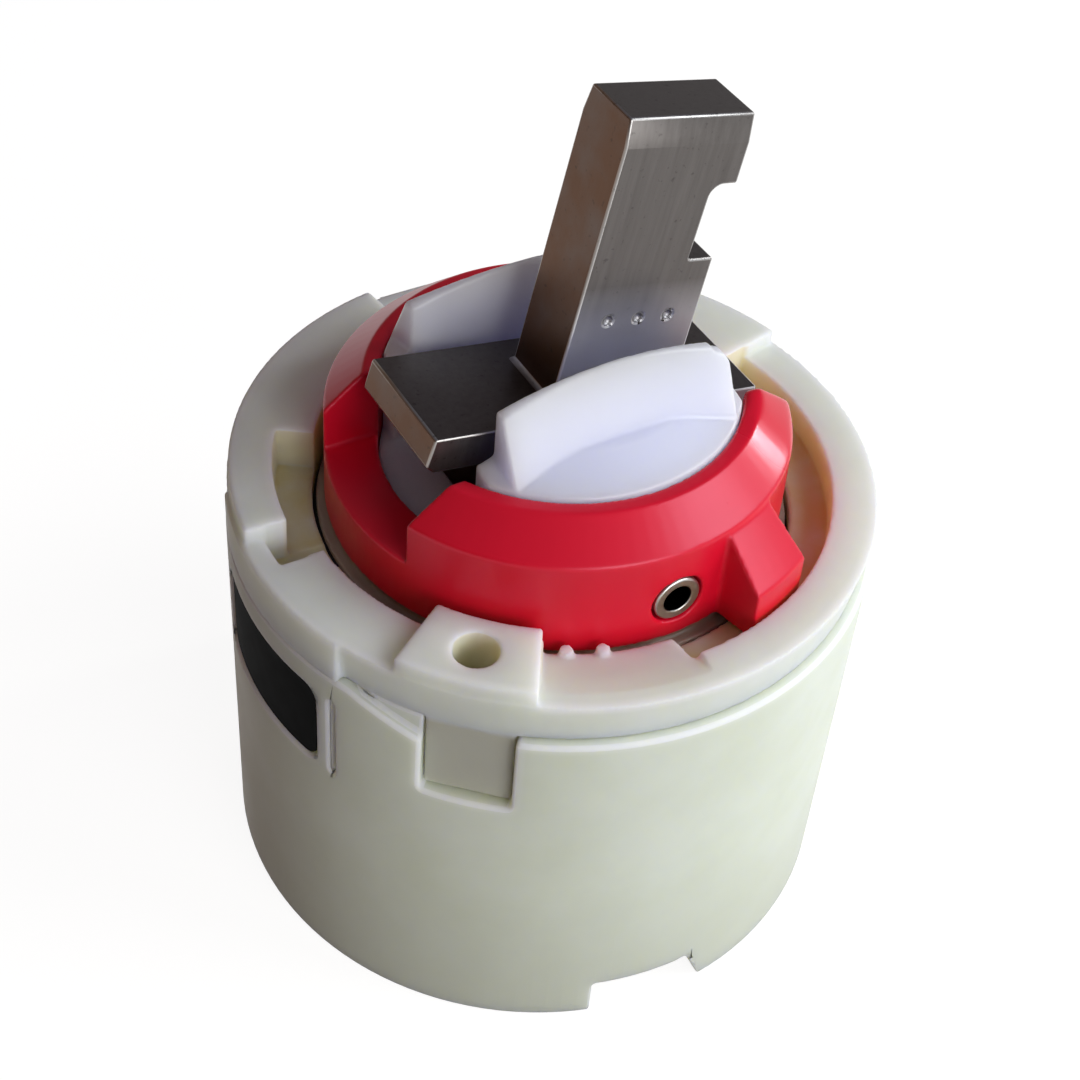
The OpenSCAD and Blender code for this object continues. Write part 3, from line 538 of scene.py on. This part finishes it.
def sintered_steel(name, dark_hex, light_hex, painted_reflection_hex, gloss_from, gloss_to):
    """Pressed and tumbled steel powder, with a painted brown reflection on the narrow faces of the stem and a
    painted pale reflection low on its broad faces.
    """
    made, tree = material(name)
    coordinates = add(tree, "TexCoord")
    along = add(tree, "VectorRotate", {"Vector": coordinates.outputs["Object"], "Center": LEVER_PIVOT,
                                       "Axis": (0, 1, 0), "Angle": -LEVER_LEAN}, rotation_type="AXIS_ANGLE")
    lines = add(tree, "Mapping", {"Vector": along.outputs[0], "Scale": (1, 1, 0.05)})
    grain = add(tree, "TexNoise", {"Vector": lines.outputs[0], "Scale": per_mm(0.4), "Detail": 5,
                                   "Roughness": 0.6})
    pores = add(tree, "TexNoise", {"Vector": along.outputs[0], "Scale": per_mm(0.45), "Detail": 2})
    pitted = add(tree, "MapRange", {"Value": pores.outputs[0], "From Min": 0.64, "From Max": 0.74,
                                    "To Max": 0.38})
    # Painted reflection: the narrow faces of the stem are tinted brown in patches.
    reflection_patches = add(tree, "TexNoise", {"Vector": along.outputs[0], "Scale": per_mm(4), "Detail": 5})
    reflection_patchy = add(tree, "MapRange", {"Value": reflection_patches.outputs[0], "From Min": 0.3, "From Max": 0.6,
                                   "To Min": 0.6})
    facing = add(tree, "VectorRotate", {"Vector": coordinates.outputs["Normal"], "Axis": (0, 1, 0),
                                        "Angle": -LEVER_LEAN}, rotation_type="AXIS_ANGLE")
    facing = add(tree, "SeparateXYZ", {0: facing.outputs[0]})
    narrow = add(tree, "Math", {0: facing.outputs["X"]}, operation="ABSOLUTE")
    narrow = add(tree, "MapRange", {"Value": narrow.outputs[0], "From Min": 0.6, "From Max": 0.95})
    painted_brown_reflection = add(tree, "Math", {0: narrow.outputs[0], 1: reflection_patchy.outputs[0]}, operation="MULTIPLY")
    tone = add(tree, "Mix", {0: grain.outputs[0], 6: linear(dark_hex), 7: linear(light_hex)},
               data_type="RGBA")
    tone = add(tree, "Mix", {0: painted_brown_reflection.outputs[0], 6: tone.outputs[2], 7: linear(painted_reflection_hex)},
               data_type="RGBA")
    tone = add(tree, "Mix", {0: pitted.outputs[0], 6: tone.outputs[2], 7: linear("#2c2927")},
               data_type="RGBA")
    # Painted reflection: low on the broad faces of the stem the steel is painted pale and less metallic, for
    # the white cheek it reflects.
    place = add(tree, "SeparateXYZ", {0: along.outputs[0]})
    low = add(tree, "MapRange", {"Value": place.outputs["Z"], "From Min": REFLECTION_NONE_Z,
                                 "From Max": REFLECTION_FULL_Z, "To Max": 0.85})
    stem = add(tree, "MapRange", {"Value": place.outputs["X"], "From Min": STEM_FROM_X,
                                  "From Max": STEM_FULL_X})
    broad = add(tree, "Math", {0: facing.outputs["Y"]}, operation="ABSOLUTE")
    broad = add(tree, "Math", {0: broad.outputs[0], 1: stem.outputs[0]}, operation="MULTIPLY")
    painted_low_reflection = add(tree, "Math", {0: broad.outputs[0], 1: low.outputs[0]}, operation="MULTIPLY")
    tone = add(tree, "Mix", {0: painted_low_reflection.outputs[0], 6: tone.outputs[2], 7: linear("#c6c5cb")}, data_type="RGBA")
    bare = add(tree, "MapRange", {"Value": painted_low_reflection.outputs[0], "To Min": 1.0, "To Max": 0.5})
    gloss = add(tree, "MapRange", {"Value": grain.outputs[0], "To Min": gloss_from, "To Max": gloss_to})
    scratch = add(tree, "Bump", {"Height": grain.outputs[0], "Strength": 0.15, "Distance": 0.03 * MM})
    finish_material(tree, add(tree, "BsdfPrincipled", {
        "Base Color": tone.outputs[2], "Metallic": bare.outputs[0], "Roughness": gloss.outputs[0],
        "Normal": scratch.outputs[0],
    }))
    return made


lever_steel = sintered_steel("sintered and tumbled steel", "#55514f", "#6e6a68", "#5c4232", 0.3, 0.46)
edge_steel = sintered_steel("sintered steel rubbed bright", "#8d8a88", "#a5a2a0", "#8a7a70", 0.25, 0.38)
lever = crisp("lever_stem", "lever", edge=0.16, segments=2)
lever.data.materials.append(lever_steel)
lever.data.materials.append(edge_steel)

# %% [markdown]
# ## Drawn pin steel
# The lever swings on a hollow pin that is pressed through the ring. Its end was faced bright, and its bore
# is painted near black as painted shade, so the material asks how far a point lies from the pin's axis,
# which is the one the lever swings on. Its broken edges are of the same steel.

# %% Drawn pin steel
PIN_BORE = 1.08 * MM
BORE_FADE = 0.06 * MM
pin_steel, tree = material("drawn pin steel, faced at the end")
where = add(tree, "TexCoord").outputs["Object"]
off = add(tree, "VectorMath", {0: where, 1: LEVER_PIVOT}, operation="SUBTRACT")
off = add(tree, "VectorMath", {0: off.outputs[0], 1: (1, 0, 1)}, operation="MULTIPLY")
reach = add(tree, "VectorMath", {0: off.outputs[0]}, operation="LENGTH")
# Painted shade: within the bore the steel is painted near black.
inside = add(tree, "MapRange", {"Value": reach.outputs["Value"], "From Min": PIN_BORE + BORE_FADE,
                                "From Max": PIN_BORE})
marks = add(tree, "TexNoise", {"Vector": where, "Scale": per_mm(0.25), "Detail": 4})
tone = add(tree, "Mix", {0: marks.outputs[0], 6: linear("#b4b2ae"), 7: linear("#d4d2ce")}, data_type="RGBA")
tone = add(tree, "Mix", {0: inside.outputs[0], 6: tone.outputs[2], 7: linear("#0d0b0b")}, data_type="RGBA")
gloss = add(tree, "MapRange", {"Value": marks.outputs[0], "To Min": 0.26, "To Max": 0.42})
scratch = add(tree, "Bump", {"Height": marks.outputs[0], "Strength": 0.15, "Distance": 0.02 * MM})
finish_material(tree, add(tree, "BsdfPrincipled", {
    "Base Color": tone.outputs[2], "Metallic": 1.0, "Roughness": gloss.outputs[0],
    "Normal": scratch.outputs[0],
}))
pin = crisp("pin", "lever_pin", edge=0.16, segments=3)
pin.data.materials.append(pin_steel)
pin.data.materials.append(pin_steel)

# %% [markdown]
# ## The small pieces
# What is left keeps its CAD shape and gets its real material: black acetal, rubber, lapped ceramic and
# turned fluoroplastic. One function makes these plain ones, because they differ only in colour, gloss and
# the size of their grain. The base plate is of the cup's nylon.

# %% Plain finishes
def plain_finish(name, dark_hex, light_hex, grain_mm, gloss_from, gloss_to, shine=0.5):
    """A finish that wavers between two colours and two roughnesses."""
    made, tree = material(name)
    where = add(tree, "TexCoord").outputs["Object"]
    grain = add(tree, "TexNoise", {"Vector": where, "Scale": per_mm(grain_mm), "Detail": 4})
    tone = add(tree, "Mix", {0: grain.outputs[0], 6: linear(dark_hex), 7: linear(light_hex)},
               data_type="RGBA")
    gloss = add(tree, "MapRange", {"Value": grain.outputs[0], "To Min": gloss_from, "To Max": gloss_to})
    bump = add(tree, "Bump", {"Height": grain.outputs[0], "Strength": 0.1, "Distance": 0.04 * MM})
    finish_material(tree, add(tree, "BsdfPrincipled", {
        "Base Color": tone.outputs[2], "Roughness": gloss.outputs[0], "Normal": bump.outputs[0],
        "Specular IOR Level": shine,
    }))
    return made


finishes = {
    "black_acetal": plain_finish("moulded black acetal", "#030303", "#080808", 1.5, 0.75, 0.9, shine=0.05),
    "black_rubber": plain_finish("moulded black rubber", "#1b1b1b", "#272727", 0.6, 0.6, 0.8, shine=0.3),
    "alumina_ceramic": plain_finish("lapped alumina ceramic", "#ebe8e0", "#f3f1ea", 3.0, 0.12, 0.2),
    "white_ptfe": plain_finish("turned white fluoroplastic", "#dedcd4", "#e8e6df", 1.2, 0.45, 0.6),
    "pin_steel": pin_steel,
    "ivory_nylon": cup_nylon,
    "ivory_nylon_collar": collar_nylon,
    "white_acetal": white_acetal,
    "red_acetal": red_acetal,
    "sintered_steel": lever_steel,
}
for node, shown in frame["nodes"].items():
    shown.data.materials.clear()
    shown.data.materials.append(finishes[slot_of[node]])
print("finishes", len(finishes))
